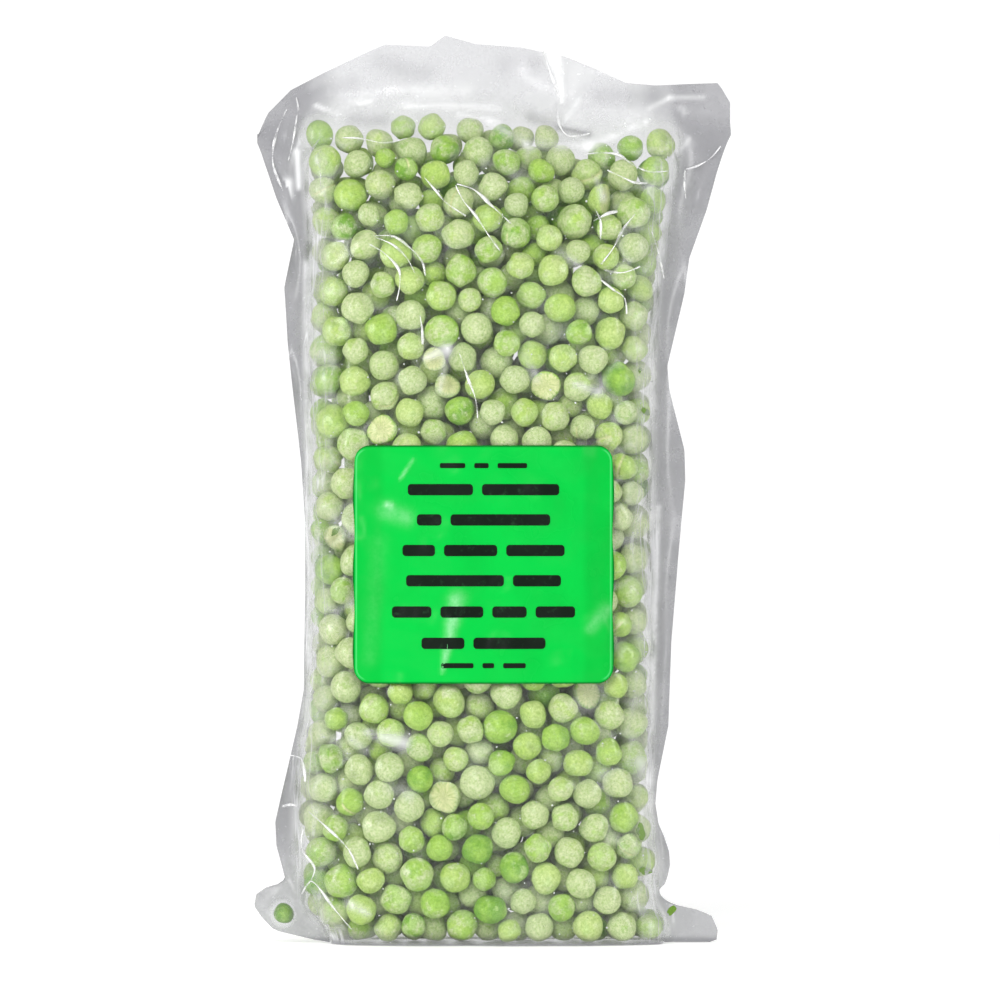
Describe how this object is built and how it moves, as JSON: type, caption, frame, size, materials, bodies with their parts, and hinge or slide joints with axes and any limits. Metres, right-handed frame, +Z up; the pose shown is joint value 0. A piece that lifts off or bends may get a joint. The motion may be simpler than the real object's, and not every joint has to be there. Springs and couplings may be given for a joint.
{
  "type": "vacuum bag of frozen green peas",
  "caption": "Clear vacuum bag filled with frozen green peas, standing upright, with a film fin round its edge and a green sticker on its front.",
  "frame": {"origin": "on the floor, under the middle of the standing bag's box", "axes": "+Z up along the bag's height, +X towards the bag's right side as its front is seen, -Y out of the front, where the sticker is"},
  "size_m": [0.1402, 0.0517, 0.2667],
  "materials": {
    "bag_of_peas": "pale frosted green peas seen through clear film",
    "film": "clear glossy film, milky where it is creased or doubled",
    "label": "glossy bright green sticker",
    "label_print": "plain black printed shapes"
  },
  "bodies": {
    "root": {"bag": "bag_of_peas", "label": "label"}
  },
  "joints": []
}
